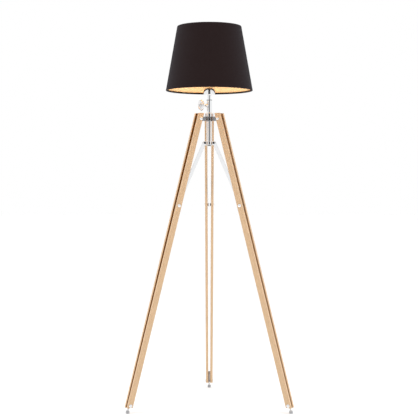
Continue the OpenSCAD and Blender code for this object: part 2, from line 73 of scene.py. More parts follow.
def finish(name):
    """A new material with its shader, and short ways to add and join its nodes."""
    material = bpy.data.materials.new(name)
    material.use_nodes = True
    tree = material.node_tree
    shader = tree.nodes["Principled BSDF"]

    def add(kind, inputs=None, **settings):
        made = tree.nodes.new(kind)
        for key, value in settings.items():
            setattr(made, key, value)
        for key, value in (inputs or {}).items():
            if isinstance(value, bpy.types.NodeSocket):
                tree.links.new(value, made.inputs[key])
            else:
                made.inputs[key].default_value = value
        return made

    def join(source, target):
        tree.links.new(source, shader.inputs[target])

    return material, shader, add, join


def stretched(add, scale):
    """Object coordinates, with each axis scaled by its own number."""
    place = add("ShaderNodeTexCoord").outputs["Object"]
    return add("ShaderNodeMapping", {"Vector": place, "Scale": scale}).outputs["Vector"]


def spread(add, value, low, high):
    """The range 0 to 1 of a value, spread from low to high."""
    return add("ShaderNodeMapRange", {"Value": value, "To Min": low, "To Max": high}).outputs["Result"]


def between(add, amount, first, second):
    """A colour between two colours, by an amount from 0 to 1."""
    blended = add("ShaderNodeMix", data_type="RGBA")
    blended.inputs[6].default_value = (*first, 1)
    blended.inputs[7].default_value = (*second, 1)
    blended.id_data.links.new(amount, blended.inputs[0])
    return blended.outputs[2]


def mottle(add, place, scale, detail):
    """Noise from 0 to 1 over a place."""
    return add("ShaderNodeTexNoise", {"Vector": place, "Scale": scale, "Detail": detail}).outputs["Fac"]


def relief(add, join, height, strength, depth):
    """Raises a surface by a height from 0 to 1, in the shading only."""
    bump = add("ShaderNodeBump", {"Height": height, "Strength": strength, "Distance": depth})
    join(bump.outputs["Normal"], "Normal")


def plated_metal(name, colour, smooth, worn):
    """Plated metal: polishing marks round the part, with faint patches of handling."""
    material, shader, add, join = finish(name)
    shader.inputs["Metallic"].default_value = 1.0
    patches = mottle(add, stretched(add, (1, 1, 1)), 38.0, 4.0)
    marks = mottle(add, stretched(add, (90, 90, 1400)), 1.0, 3.0)
    join(between(add, patches, [0.93 * c for c in colour], colour), "Base Color")
    join(spread(add, patches, smooth, worn), "Roughness")
    relief(add, join, marks, 0.02, 0.0002)
    return material


def coat(piece, material):
    """Gives a piece its one material."""
    piece.data.materials.clear()
    piece.data.materials.append(material)


def repaint(node, material):
    """A CAD node keeps its shape and takes a better material in its slot."""
    for slot in nodes[node].material_slots:
        slot.material = material


def stand_for(piece, body, slot, material, *cad_nodes):
    """Finishes a piece: its material, its body and the CAD nodes that it stands for. The slot argument is
    not used.
    """
    coat(piece, material)
    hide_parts(*cad_nodes)
    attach(piece, body)


def pick_up(piece=None):
    """Leaves edit mode and deselects everything, then selects one piece if it is given."""
    if bpy.context.object and bpy.context.object.mode != "OBJECT":
        bpy.ops.object.mode_set(mode="OBJECT")
    bpy.ops.object.select_all(action="DESELECT")
    if piece:
        bpy.context.view_layer.objects.active = piece
        piece.select_set(True)


def settle(piece, matrix=Matrix.Identity(4)):
    """Moves a piece, and keeps its place in its mesh with the object at the origin."""
    pick_up(piece)
    piece.matrix_world = matrix @ piece.matrix_world
    bpy.ops.object.transform_apply(location=True, rotation=True, scale=True)


def smooth(piece, degrees=35):
    """Shades a piece smooth, with its edges sharper than this angle kept and its flat faces flat."""
    pick_up(piece)
    bpy.ops.object.shade_smooth_by_angle(angle=math.radians(degrees))
    bpy.ops.object.modifier_add(type="WEIGHTED_NORMAL")
    flatness = piece.modifiers[-1]
    flatness.keep_sharp = True
    bpy.ops.object.modifier_apply(modifier=flatness.name)


def corner(centre_r, centre_z, radius, start, end, steps=6):
    """The points of a rounded corner in an outline, between two angles in degrees."""
    angles = [math.radians(start + (end - start) * i / steps) for i in range(steps + 1)]
    return [(centre_r + radius * math.cos(a), centre_z + radius * math.sin(a)) for a in angles]


def ring_outline(inner, outer, low, high, edge):
    """The closed outline of a ring with rounded edges."""
    return (corner(outer - edge, low + edge, edge, -90, 0)
            + corner(outer - edge, high - edge, edge, 0, 90)
            + corner(inner + edge, high - edge, edge, 90, 180)
            + corner(inner + edge, low + edge, edge, 180, 270) + [(outer - edge, low)])


def rod_outline(radius, low, high, edge):
    """The outline of a solid rod with rounded edges."""
    return ([(0, low)] + corner(radius - edge, low + edge, edge, -90, 0)
            + corner(radius - edge, high - edge, edge, 0, 90) + [(0, high)])


def turned(name, outline, steps=96, sharpest=35):
    """A piece turned about Z from an outline of radii and heights."""
    pick_up()
    bpy.ops.mesh.primitive_plane_add(size=0.001)
    piece = bpy.context.object
    piece.name = name
    bpy.ops.object.mode_set(mode="EDIT")
    bpy.ops.mesh.select_mode(type="VERT")
    bpy.ops.mesh.select_all(action="SELECT")
    bpy.ops.mesh.merge(type="CENTER")
    bpy.ops.transform.translate(value=(outline[0][0], 0, outline[0][1]))
    for (r0, z0), (r1, z1) in zip(outline, outline[1:]):
        bpy.ops.mesh.extrude_vertices_move(TRANSFORM_OT_translate={"value": (r1 - r0, 0, z1 - z0)})
    bpy.ops.mesh.select_all(action="SELECT")
    bpy.ops.mesh.remove_doubles(threshold=MERGE_WITHIN)
    bpy.ops.mesh.spin(steps=steps, angle=math.tau, center=(0, 0, 0), axis=(0, 0, 1))
    bpy.ops.mesh.select_all(action="SELECT")
    bpy.ops.mesh.remove_doubles(threshold=MERGE_WITHIN)
    bpy.ops.mesh.normals_make_consistent(inside=False)
    bpy.ops.object.mode_set(mode="OBJECT")
    smooth(piece, sharpest)
    return piece


def soften(piece, width):
    """Rounds a piece's sharp edges."""
    pick_up(piece)
    bpy.ops.object.modifier_add(type="BEVEL")
    rounding = piece.modifiers[-1]
    rounding.width = width
    rounding.segments = 3
    rounding.limit_method = "ANGLE"
    rounding.angle_limit = math.radians(50)
    bpy.ops.object.modifier_apply(modifier=rounding.name)


def pick_none(piece, kind):
    """Deselects all of a piece's mesh, ready to select its points or its edges."""
    pick_up(piece)
    bpy.ops.object.mode_set(mode="EDIT")
    bpy.ops.mesh.select_mode(type=kind)
    bpy.ops.mesh.select_all(action="DESELECT")
    bpy.ops.object.mode_set(mode="OBJECT")


def pick_points(piece, wanted):
    """Selects the points whose place passes a test, and opens the piece in edit mode."""
    pick_none(piece, "VERT")
    for vertex in piece.data.vertices:
        vertex.select = wanted(vertex.co)
    bpy.ops.object.mode_set(mode="EDIT")


def flat_bar(name, radius, length, thick):
    """A flat bar with round ends, from the origin down -Z, with its thickness along Y."""
    pick_up()
    bpy.ops.mesh.primitive_cylinder_add(vertices=64, radius=radius, depth=thick,
                                        rotation=(math.pi / 2, 0, 0))
    piece = bpy.context.object
    piece.name = name
    settle(piece)
    pick_points(piece, lambda spot: spot.z < -0.00001)
    bpy.ops.transform.translate(value=(0, 0, -length))
    bpy.ops.object.mode_set(mode="OBJECT")
    return piece


def cut_off(piece, point, outward):
    """Cuts away what lies beyond a plane, on the side that outward points to, and closes the cut."""
    pick_up(piece)
    bpy.ops.object.mode_set(mode="EDIT")
    bpy.ops.mesh.select_all(action="SELECT")
    bpy.ops.mesh.bisect(plane_co=point, plane_no=outward, use_fill=True, clear_outer=True)
    bpy.ops.object.mode_set(mode="OBJECT")


def cut_away(piece, tool):
    """Takes one piece's shape out of another, and throws the tool away."""
    pick_up(piece)
    bpy.ops.object.modifier_add(type="BOOLEAN")
    taken = piece.modifiers[-1]
    taken.operation = "DIFFERENCE"
    taken.object = tool
    bpy.ops.object.modifier_apply(modifier=taken.name)
    pick_up(tool)
    bpy.ops.object.delete()


def twin(piece, matrix):
    """A copy of a piece with its own mesh, moved."""
    pick_up(piece)
    bpy.ops.object.duplicate()
    copy = bpy.context.object
    settle(copy, matrix)
    return copy


def joined(name, pieces):
    """Several pieces made one."""
    pick_up(pieces[0])
    for piece in pieces:
        piece.select_set(True)
    bpy.ops.object.join()
    pieces[0].name = name
    return pieces[0]


def ends(node):
    """The heights of a CAD node's lowest and highest points."""
    low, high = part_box(node)
    return low.z, high.z


def round_column(degrees):
    """A turn about the column's axis."""
    return Matrix.Rotation(math.radians(degrees), 4, "Z")


def leg_angle(leg):
    """The direction of a leg, seen from above, in degrees."""
    pivot = joints[f"leg_{leg}_fold"]["pos_m"]
    return math.degrees(math.atan2(pivot[1], pivot[0]))


casting_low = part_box("tripod_head")[0].z + LUG_OVERHANG
casting_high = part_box("head_cap")[0].z
casting = turned("casting", ring_outline(TUBE_R, HEAD_R, casting_low, casting_high, 0.0006))
for angle in GRUB_ANGLES:
    drill = turned("drill", rod_outline(GRUB_R, GRUB_FLOOR, GRUB_MOUTH, 0.0001), 32)
    settle(drill, round_column(angle) @ Matrix.Translation((0, 0, PIVOT.z)) @ OUTWARDS)
    cut_away(casting, drill)
smooth(casting)
lug = flat_bar("lug", LUG_R, LUG_LENGTH, LUG_THICK)
settle(lug, Matrix.Translation((PIVOT_R, 0, PIVOT.z)) @ OUTWARDS)
cut_off(lug, (LUG_ROOT, 0, 0), (-1, 0, 0))
soften(lug, 0.0008)
smooth(lug)
lugs = [twin(lug, round_column(leg_angle(leg))) for leg in LEGS]
pick_up(lug)
bpy.ops.object.delete()
# Painted shade and painted dark reflection: this dark grey plating darkens the head's band under the bright
# cap.
black_nickel = plated_metal("black_nickel", (0.27, 0.27, 0.28), 0.12, 0.24)
cast_head = joined("cast_head", [casting, *lugs])
stand_for(cast_head, "frame", "black_nickel", black_nickel, "tripod_head")
dark_steel = plated_metal("dark_steel", (0.28, 0.28, 0.29), 0.28, 0.42)
repaint("head_screws", dark_steel)

# ---------------------------------------------------------------- head cap
# A bright turned cap that sits on the casting and hides its bore.

CAP_BEVEL = 0.0004
CAP_EDGE = 0.0025
chrome = plated_metal("chrome", (0.88, 0.89, 0.90), 0.03, 0.08)
cap_low, cap_high = ends("head_cap")
bright_cap = turned("bright_cap", [(TUBE_R, cap_low), (HEAD_R - CAP_BEVEL, cap_low)]
                    + [(HEAD_R, cap_low + CAP_BEVEL)]
                    + corner(HEAD_R - CAP_EDGE, cap_high - CAP_EDGE, CAP_EDGE, 0, 90, 10)
                    + [(TUBE_R, cap_high), (TUBE_R, cap_low)])
stand_for(bright_cap, "frame", "chrome", chrome, "head_cap")

# ---------------------------------------------------------------- outer tube
# A chromed steel tube that runs down through the head. Its clamp boss is brazed on, and its
# nylon guide bush, end plug and rubber grommet are pressed in.

TUBE_INNER_R = 0.0098
POLE_R = 0.008
SCREW_BORE_R = 0.00305
BOSS_R = 0.0065
BOSS_NEAR = 0.0089
BOSS_FAR = 0.019
BUSH_BORE_R = POLE_R + 0.00005
BUSH_FLANGE_R = TUBE_R + 0.0005
BUSH_LEAD = 0.00055
PLUG_FLANGE_R = 0.0135
PLUG_HOLE_R = 0.0045
MOULD_EDGE = 0.0008
CORD_WAY_R = 0.003
GROMMET_LIP_R = 0.0065
GROMMET_EDGE = 0.001
CLAMP_AXIS = Vector(joints["knob_turn"]["axis"])
CLAMP_HEIGHT = joints["knob_turn"]["pos_m"][2]


def moulded(name, colour, smooth_part, rough_part, grain=900.0, depth=0.00006):
    """Moulded plastic or rubber: a fine sparked grain and slightly uneven gloss."""
    material, _, add, join = finish(name)
    place = stretched(add, (1, 1, 1))
    speckle = mottle(add, place, grain, 2.0)
    clouds = mottle(add, place, 55.0, 3.0)
    join(between(add, clouds, [0.8 * c for c in colour], [1.15 * c for c in colour]), "Base Color")
    join(spread(add, clouds, smooth_part, rough_part), "Roughness")
    relief(add, join, speckle, 0.4, depth)
    return material


def clamp_space():
    """From a space with +Z out along the clamp screw, and its origin on the column, to the frame's."""
    turn = CLAMP_AXIS.to_track_quat("Z", "Y").to_matrix().to_4x4()
    return Matrix.Translation((0, 0, CLAMP_HEIGHT)) @ turn


dark_nylon = moulded("dark_nylon", (0.035, 0.035, 0.036), 0.38, 0.52)
pale_nylon = moulded("pale_nylon", (0.70, 0.69, 0.65), 0.36, 0.50)
black_rubber = moulded("black_rubber", (0.02, 0.02, 0.02), 0.62, 0.78)
tube_low, tube_high = ends("outer_tube")
column_tube = turned("column_tube", ring_outline(TUBE_INNER_R, TUBE_R, tube_low, tube_high, 0.0004), 128)
stand_for(column_tube, "frame", "chrome", chrome, "outer_tube")

boss = turned("brazed_boss", ring_outline(SCREW_BORE_R, BOSS_R, BOSS_NEAR, BOSS_FAR, 0.0008), 64)
settle(boss, clamp_space())
stand_for(boss, "frame", "chrome", chrome, "clamp_boss")

bush_low, bush_high = ends("guide_bush")
top_bush = turned("top_bush", [(BUSH_BORE_R, bush_low), (TUBE_INNER_R, bush_low),
                               (TUBE_INNER_R, tube_high), (BUSH_FLANGE_R, tube_high)]
                  + corner(BUSH_FLANGE_R - MOULD_EDGE, bush_high - MOULD_EDGE, MOULD_EDGE, 0, 90)
                  + corner(BUSH_BORE_R + BUSH_LEAD, bush_high - BUSH_LEAD, BUSH_LEAD, 90, 180)
                  + [(BUSH_BORE_R, bush_low)])
stand_for(top_bush, "frame", "dark_nylon", dark_nylon, "guide_bush")

plug_low, plug_high = ends("end_plug")
plug_edge_r = PLUG_FLANGE_R - MOULD_EDGE
tube_plug = turned("tube_plug", [(PLUG_HOLE_R, plug_low)]
                   + corner(plug_edge_r, plug_low + MOULD_EDGE, MOULD_EDGE, -90, 0)
                   + corner(plug_edge_r, tube_low - MOULD_EDGE, MOULD_EDGE, 0, 90)
                   + [(TUBE_INNER_R, tube_low), (TUBE_INNER_R, plug_high),
                      (PLUG_HOLE_R, plug_high), (PLUG_HOLE_R, plug_low)])
stand_for(tube_plug, "frame", "pale_nylon", pale_nylon, "end_plug")

grommet_low, grommet_high = ends("cable_grommet")
lip_mid = grommet_low + GROMMET_EDGE
cord_grommet = turned("cord_grommet", corner(CORD_WAY_R + GROMMET_EDGE, lip_mid, GROMMET_EDGE, 180, 270)
                      + corner(GROMMET_LIP_R - GROMMET_EDGE, lip_mid, GROMMET_EDGE, -90, 0)
                      + [(GROMMET_LIP_R, plug_low), (PLUG_HOLE_R, plug_low), (PLUG_HOLE_R, grommet_high),
                         (CORD_WAY_R, grommet_high), (CORD_WAY_R, lip_mid)], 64)
stand_for(cord_grommet, "frame", "black_rubber", black_rubber, "cable_grommet")

# ---------------------------------------------------------------- spreader collar
# A chromed collar that slides on the tube in a nylon liner. Three pairs of ears take the
# riveted pins of the braces.

EAR_R = 0.0061
EAR_THICK = 0.004
EAR_INNER = 0.0033
EAR_LENGTH = 0.010
EAR_ROOT = 0.0140
COLLAR_BORE_R = 0.01245
COLLAR_R = 0.01585
COLLAR_HALF = 0.007
PIN_R = 0.0025
PIN_HEAD_R = 0.0045
PIN_HEAD = 0.0026
PIN_EDGE = 0.0012
brace_top = Vector(joints["brace_1_pivot"]["pos_m"])
BRACE_TOP_R = brace_top.xy.length
collar_low, collar_high = brace_top.z - COLLAR_HALF, brace_top.z + COLLAR_HALF
sleeve = turned("sleeve", ring_outline(COLLAR_BORE_R, COLLAR_R, collar_low, collar_high, 0.0010))
ears = []
for leg in LEGS:
    for side in (-1, 1):
        ear = flat_bar("ear", EAR_R, EAR_LENGTH, EAR_THICK)
        middle = side * (EAR_INNER + EAR_THICK / 2)
        settle(ear, Matrix.Translation((BRACE_TOP_R, middle, brace_top.z)) @ OUTWARDS)
        cut_off(ear, (EAR_ROOT, 0, 0), (-1, 0, 0))
        soften(ear, 0.0005)
        smooth(ear)
        settle(ear, round_column(leg_angle(leg)))
        ears.append(ear)
sliding_collar = joined("sliding_collar", [sleeve, *ears])
stand_for(sliding_collar, "collar", "chrome", chrome, "spreader_collar")
repaint("collar_liner", dark_nylon)

ear_face = EAR_INNER + EAR_THICK
edge_r, edge_height = PIN_HEAD_R - PIN_EDGE, ear_face + PIN_HEAD - PIN_EDGE
pins = []
for leg in LEGS:
    pin = turned("pin", [(0, -ear_face - PIN_HEAD)] + corner(edge_r, -edge_height, PIN_EDGE, -90, 0)
                 + [(PIN_HEAD_R, -ear_face), (PIN_R, -ear_face), (PIN_R, ear_face), (PIN_HEAD_R, ear_face)]
                 + corner(edge_r, edge_height, PIN_EDGE, 0, 90) + [(0, ear_face + PIN_HEAD)], 48)
    settle(pin, round_column(leg_angle(leg)) @ Matrix.Translation((BRACE_TOP_R, 0, brace_top.z))
           @ Matrix.Rotation(-math.pi / 2, 4, "X"))
    pins.append(pin)
ear_pins = joined("ear_pins", pins)
black_oxide = plated_metal("black_oxide", (0.025, 0.025, 0.028), 0.26, 0.40)
stand_for(ear_pins, "collar", "black_nickel", black_oxide, "collar_pins")

# ---------------------------------------------------------------- braces
# Three flat chromed steel bars with round ends, each pinned to the collar and to a leg's
# cross bolt, which fold up with the legs.

BRACE_LENGTH = 0.279
BRACE_R = 0.00725
BRACE_THICK = 0.006
LEAN = math.radians(15.35)
CROSS_DROP = 0.3614
SLAT_OUTSET = 0.0043
cross_r = PIVOT_R + CROSS_DROP * math.sin(LEAN) + SLAT_OUTSET * math.cos(LEAN)
brace_lean = math.asin((cross_r - BRACE_TOP_R) / BRACE_LENGTH)
for leg in LEGS:
    bar = flat_bar(f"chromed_brace_{leg}", BRACE_R, BRACE_LENGTH, BRACE_THICK)
    soften(bar, 0.0009)
    smooth(bar)
    settle(bar, round_column(leg_angle(leg)) @ Matrix.Translation((BRACE_TOP_R, 0, brace_top.z))
           @ Matrix.Rotation(-brace_lean, 4, "Y"))
    stand_for(bar, f"brace_{leg}", "chrome", chrome, f"brace_{leg}")

# ---------------------------------------------------------------- slats
# Each leg is a pair of straight hardwood slats with rounded edges and level-cut ends, under a
# satin lacquer. The bolts pass through both slats of a pair.

SLAT_WIDTH = 0.0224
SLAT_THICK = 0.0104
HEAD_GAP = 0.017
FOOT_GAP = 0.008
SLAT_EDGE = 0.0014
SLAT_END_EDGE = 0.0005
# How dark the painted shade in the gap between a pair of slats is, set leg by leg.
GAP_SHADE = {1: 0.8, 2: 1.0, 3: 0.6}
SLAT_LOW, SLAT_HIGH = ends("leg_1_left_slat")
SLAT_REACH = (PIVOT.z - SLAT_LOW) / math.cos(LEAN)
CONVERGE = math.atan((HEAD_GAP - FOOT_GAP) / 2 / SLAT_REACH)


def leg_space(leg):
    """From a leg's own space, with its pivot at the origin and its length down -Z, to the frame's."""
    pivot = Vector(joints[f"leg_{leg}_fold"]["pos_m"])
    return Matrix.Translation(pivot) @ round_column(leg_angle(leg)) @ Matrix.Rotation(-LEAN, 4, "Y")


def hardwood():
    """Lacquered pale hardwood, with its grain along the slat and fine dark pores. The inner faces
    of a pair are darker, which stands for the deep shade in the gap between them."""
    material, shader, add, join = finish("hardwood")
    place = add("ShaderNodeAttribute", attribute_name="grain_place").outputs["Vector"]

    def grain(scale, detail, rough, bend=0.0):
        along = add("ShaderNodeMapping", {"Vector": place, "Scale": scale}).outputs["Vector"]
        return add("ShaderNodeTexNoise", {
            "Vector": along, "Scale": 1.0, "Detail": detail, "Roughness": rough,
            "Distortion": bend}).outputs["Fac"]

    rings = grain((190.0, 70.0, 3.0), 3.0, 0.55, 0.6)
    boards = grain((16.0, 16.0, 1.3), 2.0, 0.5)
    fibres = grain((1500.0, 1500.0, 26.0), 3.0, 0.6)
    pores = grain((2600.0, 2600.0, 130.0), 1.0, 0.4)
    figure = add("ShaderNodeMath", {0: rings, 1: boards}, operation="ADD").outputs["Value"]
    tone = add("ShaderNodeValToRGB", {"Fac": spread(add, figure, -0.6, 1.6)})
    ramp = tone.color_ramp
    ramp.elements[0].position = 0.22
    ramp.elements[0].color = (0.440, 0.246, 0.112, 1)
    ramp.elements[1].position = 0.80
    ramp.elements[1].color = (0.660, 0.450, 0.266, 1)
    ramp.elements.new(0.52).color = (0.580, 0.376, 0.208, 1)
    depth = add("ShaderNodeMapRange", {
        "Value": pores, "From Min": 0.56, "From Max": 0.70, "To Max": 0.55}).outputs["Result"]
    streak = add("ShaderNodeMapRange", {
        "Value": fibres, "From Min": 0.50, "From Max": 0.72, "To Max": 0.30}).outputs["Result"]
    dark = add("ShaderNodeMath", {0: depth, 1: streak}, operation="MAXIMUM").outputs["Value"]
    surface = add("ShaderNodeMix", {0: dark}, data_type="RGBA")
    material.node_tree.links.new(tone.outputs["Color"], surface.inputs[6])
    surface.inputs[7].default_value = (0.300, 0.148, 0.058, 1)
    inside = add("ShaderNodeAttribute", attribute_name="painted_gap_shade").outputs["Fac"]
    shaded = add("ShaderNodeMix", {0: inside}, data_type="RGBA", blend_type="MULTIPLY")
    material.node_tree.links.new(surface.outputs[2], shaded.inputs[6])
    shaded.inputs[7].default_value = (0.42, 0.22, 0.025, 1)
    join(shaded.outputs[2], "Base Color")
    join(spread(add, fibres, 0.30, 0.46), "Roughness")
    shader.inputs["Coat Weight"].default_value = 0.25
    shader.inputs["Coat Roughness"].default_value = 0.22
    relief(add, join, fibres, 0.25, 0.0002)
    return material


def pick_edges(piece, wanted):
    """Selects the edges whose two ends pass a test, and opens the piece in edit mode."""
    pick_none(piece, "EDGE")
    for edge in piece.data.edges:
        edge.select = wanted(*(piece.data.vertices[i].co for i in edge.vertices))
    bpy.ops.object.mode_set(mode="EDIT")


def slat(leg, side, name):
    """One slat: a bar with rounded long edges, set in its leg and cut level at both ends."""
    pick_up()
    bpy.ops.mesh.primitive_cube_add(size=1)
    piece = bpy.context.object
    piece.name = name
    piece.scale = (SLAT_WIDTH, SLAT_THICK, 1.2 * SLAT_REACH)
    piece.location = (0, 0, -0.45 * SLAT_REACH)
    settle(piece)
    pick_edges(piece, lambda a, b: abs(a.z - b.z) > SLAT_REACH)
    bpy.ops.mesh.bevel(offset=SLAT_EDGE, segments=4)
    bpy.ops.object.mode_set(mode="OBJECT")
    place = (leg_space(leg) @ Matrix.Translation((SLAT_OUTSET, side * (HEAD_GAP + SLAT_THICK) / 2, 0))
             @ Matrix.Rotation(-side * CONVERGE, 4, "X"))
    settle(piece, place)
    cut_off(piece, (0, 0, SLAT_HIGH), (0, 0, 1))
    cut_off(piece, (0, 0, SLAT_LOW), (0, 0, -1))
    for height in (SLAT_LOW, SLAT_HIGH):
        pick_edges(piece, lambda a, b: abs(a.z - height) < 0.00001 and abs(b.z - height) < 0.00001)
        bpy.ops.mesh.bevel(offset=SLAT_END_EDGE, segments=2)
        bpy.ops.object.mode_set(mode="OBJECT")
    board = Vector((0.31 * leg, 0.17 * side, 0.9 * leg + 0.4 * side))
    back = place.inverted()
    spots = [back @ vertex.co for vertex in piece.data.vertices]
    grain = piece.data.attributes.new("grain_place", "FLOAT_VECTOR", "POINT")
    for spot, item in zip(spots, grain.data):
        item.vector = spot + board
    # Painted shade: the inner faces of a pair carry their leg's amount of gap shade, which darkens them in
    # the wood's colour.
    inner = piece.data.attributes.new("painted_gap_shade", "FLOAT", "POINT")
    for spot, item in zip(spots, inner.data):
        item.value = GAP_SHADE[leg] if -side * spot.y > SLAT_THICK / 2 - 0.0002 else 0.0
    smooth(piece, 40)
    return piece


wood = hardwood()
for leg in LEGS:
    for side, hand in ((1, "left"), (-1, "right")):
        board = slat(leg, side, f"hardwood_slat_{leg}_{hand}")
        stand_for(board, f"leg_{leg}", "wood", wood, f"leg_{leg}_{hand}_slat")

# ---------------------------------------------------------------- bolts and cap nuts
# Chromed bolts with low domed heads and a hexagon socket, and domed nuts on their far ends. A
# pivot bolt, a cross bolt and a thinner foot bolt hold each leg's two slats together.

DOME_R = 0.0074
DOME_HEIGHT = 0.0048
BOLT_R = 0.003
FOOT_BOLT_R = 0.0022
FOOT_BOLT_RISE = 0.007
FOOT_BOLT_DROP = SLAT_REACH - FOOT_BOLT_RISE / math.cos(LEAN)
BOLTS = ((0, 0, BOLT_R), (CROSS_DROP, SLAT_OUTSET, BOLT_R), (FOOT_BOLT_DROP, SLAT_OUTSET, FOOT_BOLT_R))
HEX_R = 0.00231
HEX_DEPTH = 0.006
HEX_MIDDLE = 0.0054
SEAT_GAP = 0.00003
dome_ball_r = (DOME_R ** 2 + DOME_HEIGHT ** 2) / (2 * DOME_HEIGHT)
dome_rise = math.degrees(math.acos(DOME_R / dome_ball_r))


def half_gap(drop):
    """Half the gap between a leg's two slats, at a distance down the leg."""
    return HEAD_GAP / 2 - drop * math.tan(CONVERGE)


def across(leg, outset, drop):
    """From a space with +Z along a leg's bolt, from right to left, to the frame's."""
    return (leg_space(leg) @ Matrix.Translation((outset, 0, -drop))
            @ Matrix.Rotation(-math.pi / 2, 4, "X"))


dome = [(0, 0), (DOME_R - 0.0004, 0)] + corner(
    0, DOME_HEIGHT - dome_ball_r, dome_ball_r, dome_rise + 1.5, 90, 12)
nut = turned("nut", dome, 64, 60)
head = turned("head", dome, 64, 60)
pick_up()
bpy.ops.mesh.primitive_cylinder_add(vertices=6, radius=HEX_R, depth=HEX_DEPTH,
                                    location=(0, 0, HEX_MIDDLE))
hex_key = bpy.context.object
settle(hex_key)
cut_away(head, hex_key)
smooth(head, 40)
for leg in LEGS:
    heads, nuts = [], []
    for drop, outset, radius in BOLTS:
        face = half_gap(drop) + SLAT_THICK / math.cos(CONVERGE) + SEAT_GAP
        line = across(leg, outset, drop)
        heads.append(twin(head, line @ Matrix.Translation((0, 0, face))))
        nuts.append(twin(nut, line @ Matrix.Translation((0, 0, -face)) @ Matrix.Rotation(math.pi, 4, "X")))
        shank = turned("shank", rod_outline(radius, -face, face + 0.0005, 0.0002), 32)
        settle(shank, line)
        heads.append(shank)
    stand_for(joined(f"domed_bolts_{leg}", heads), f"leg_{leg}", "chrome", chrome, f"leg_{leg}_bolts")
    stand_for(joined(f"domed_nuts_{leg}", nuts), f"leg_{leg}", "chrome", chrome, f"leg_{leg}_cap_nuts")
for pattern in (head, nut):
    pick_up(pattern)
    bpy.ops.object.delete()

# ---------------------------------------------------------------- washers and spacers
# Pale nylon washers sit between the head's lugs and the slats. Dark steel tubes keep each
# brace in the middle of its cross bolt.

WASHER_BORE_R = 0.00305
WASHER_R = 0.008
SPACER_R = 0.006
LUG_PLAY = 0.00015
BRACE_PLAY = 0.0003
washer_near = LUG_THICK / 2 + LUG_PLAY
washer_far = half_gap(WASHER_R) - SEAT_GAP
spacer_near = BRACE_THICK / 2 + BRACE_PLAY
spacer_far = half_gap(CROSS_DROP + SPACER_R) - SEAT_GAP
for leg in LEGS:
    washers, spacers = [], []
    for side in (0, math.pi):
        flip = Matrix.Rotation(side, 4, "X")
        washer_outline = ring_outline(WASHER_BORE_R, WASHER_R, washer_near, washer_far, 0.0002)
        washer = turned("washer", washer_outline, 64)
        settle(washer, across(leg, 0, 0) @ flip)
        washers.append(washer)
        spacer = turned("spacer", ring_outline(BOLT_R, SPACER_R, spacer_near, spacer_far, 0.0004), 48)
        settle(spacer, across(leg, SLAT_OUTSET, CROSS_DROP) @ flip)
        spacers.append(spacer)
    stand_for(joined(f"nylon_washers_{leg}", washers), f"leg_{leg}", "pale_nylon", pale_nylon,
              f"leg_{leg}_washers")
    stand_for(joined(f"spacer_tubes_{leg}", spacers), f"leg_{leg}", "dark_steel", dark_steel,
              f"leg_{leg}_spacers")

# ---------------------------------------------------------------- feet
# A zinc-plated steel peg is clamped between the lower ends of the slats, and an upright grey rubber
# foot with two shallow grip rings is pushed onto it.

PEG_R = 0.00395
PEG_LENGTH = 0.070
PAD_R = 0.007
PAD_HEIGHT = 0.011
FOOT_DROP = PIVOT.z / math.cos(LEAN) + SLAT_OUTSET * math.tan(LEAN)
PEG_END = PAD_HEIGHT / 2 + 0.001
PAD_LOW_EDGE = 0.0008
PAD_TOP_EDGE = 0.0012
GRIP_R = 0.0004
GRIP_HEIGHTS = (0.0034, 0.0062)
grey_rubber = moulded("grey_rubber", (0.42, 0.425, 0.44), 0.55, 0.70)
zinc_plate = plated_metal("zinc_plate", (0.74, 0.74, 0.75), 0.34, 0.46)
pad_r = PIVOT_R + SLAT_OUTSET / math.cos(LEAN) + (PIVOT.z - PAD_HEIGHT / 2) * math.tan(LEAN)
pad_outline = [(0, 0)] + corner(PAD_R - PAD_LOW_EDGE, PAD_LOW_EDGE, PAD_LOW_EDGE, -90, 0)
for height in GRIP_HEIGHTS:
    pad_outline += [(PAD_R, height - GRIP_R)]
    pad_outline += corner(PAD_R, height, GRIP_R, -90, -270, 5)
    pad_outline += [(PAD_R, height + GRIP_R)]
pad_outline += corner(PAD_R - PAD_TOP_EDGE, PAD_HEIGHT - PAD_TOP_EDGE, PAD_TOP_EDGE, 0, 90)
pad_outline += [(0, PAD_HEIGHT)]
for leg in LEGS:
    peg = turned(f"steel_peg_{leg}", rod_outline(PEG_R, 0.0005, PEG_LENGTH, 0.0006), 64)
    settle(peg, leg_space(leg) @ Matrix.Translation((SLAT_OUTSET, 0, PEG_END - FOOT_DROP)))
    stand_for(peg, f"leg_{leg}", "chrome", zinc_plate, f"leg_{leg}_foot_peg")
    foot = turned(f"rubber_foot_{leg}", pad_outline, 64)
    settle(foot, round_column(leg_angle(leg)) @ Matrix.Translation((pad_r, 0, 0)))
    stand_for(foot, f"leg_{leg}", "grey_rubber", grey_rubber, f"leg_{leg}_foot_pad")

# ---------------------------------------------------------------- clamp knob
# A satin chromed hand wheel with a rounded rim and a dished web, turned in one piece, on a threaded
# steel screw. A grey plastic cap closes its hub.

KNOB_REACH = Vector(joints["knob_turn"]["pos_m"]).xy.length
KNOB_R = 0.022
RIM_R = 0.0035
HUB_R = 0.0085
HUB_HALF = 0.005
HUB_EDGE = 0.0008
HUB_BORE_R = 0.0031
HUB_FILLET = 0.0015
WEB_HALF = 0.0015
RECESS_R = 0.0056
RECESS_FLOOR = 0.003
SCREW_R = 0.003
SCREW_ROOT_R = 0.0026
SCREW_TIP_R = 0.0022
SCREW_PITCH = 0.001
HUB_CAP_R = 0.0055


def thread_outline(crest, root, low, high, pitch):
    """The outline of a thread, drawn as rounded rings from low to high."""
    steps = 6 * round((high - low) / pitch)
    swings = [0.5 - 0.5 * math.cos(math.tau * i / 6) for i in range(steps + 1)]
    rise = (high - low) / steps
    return [(root + (crest - root) * swing, low + rise * i) for i, swing in enumerate(swings)]


